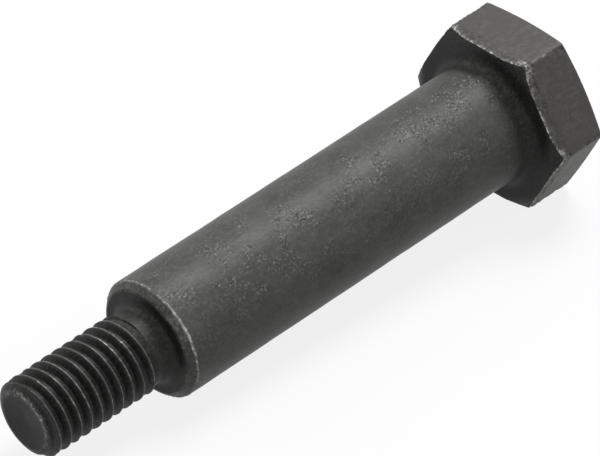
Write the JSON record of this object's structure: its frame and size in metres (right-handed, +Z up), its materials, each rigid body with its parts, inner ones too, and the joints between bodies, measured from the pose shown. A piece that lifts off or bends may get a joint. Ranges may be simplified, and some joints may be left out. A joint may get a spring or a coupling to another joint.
{
  "type": "shoulder bolt",
  "caption": "Hexagon-head shoulder bolt with a plain turned shoulder and a short thread, lying at rest.",
  "frame": {"origin": "on the surface the bolt lies on, under the middle of its length and width", "axes": "+X along the bolt from head to thread, level with the surface (the bolt's own axis dips about 3 degrees towards the thread); +Z up, through the head's upper flat; +Y to the side"},
  "size_m": [0.0648, 0.0192, 0.017],
  "materials": {
    "blackened_steel": "black oxide over forged and turned steel, worn bright on the crests and corners"
  },
  "bodies": {
    "root": {"shoulder_bolt": "blackened_steel"}
  },
  "joints": []
}
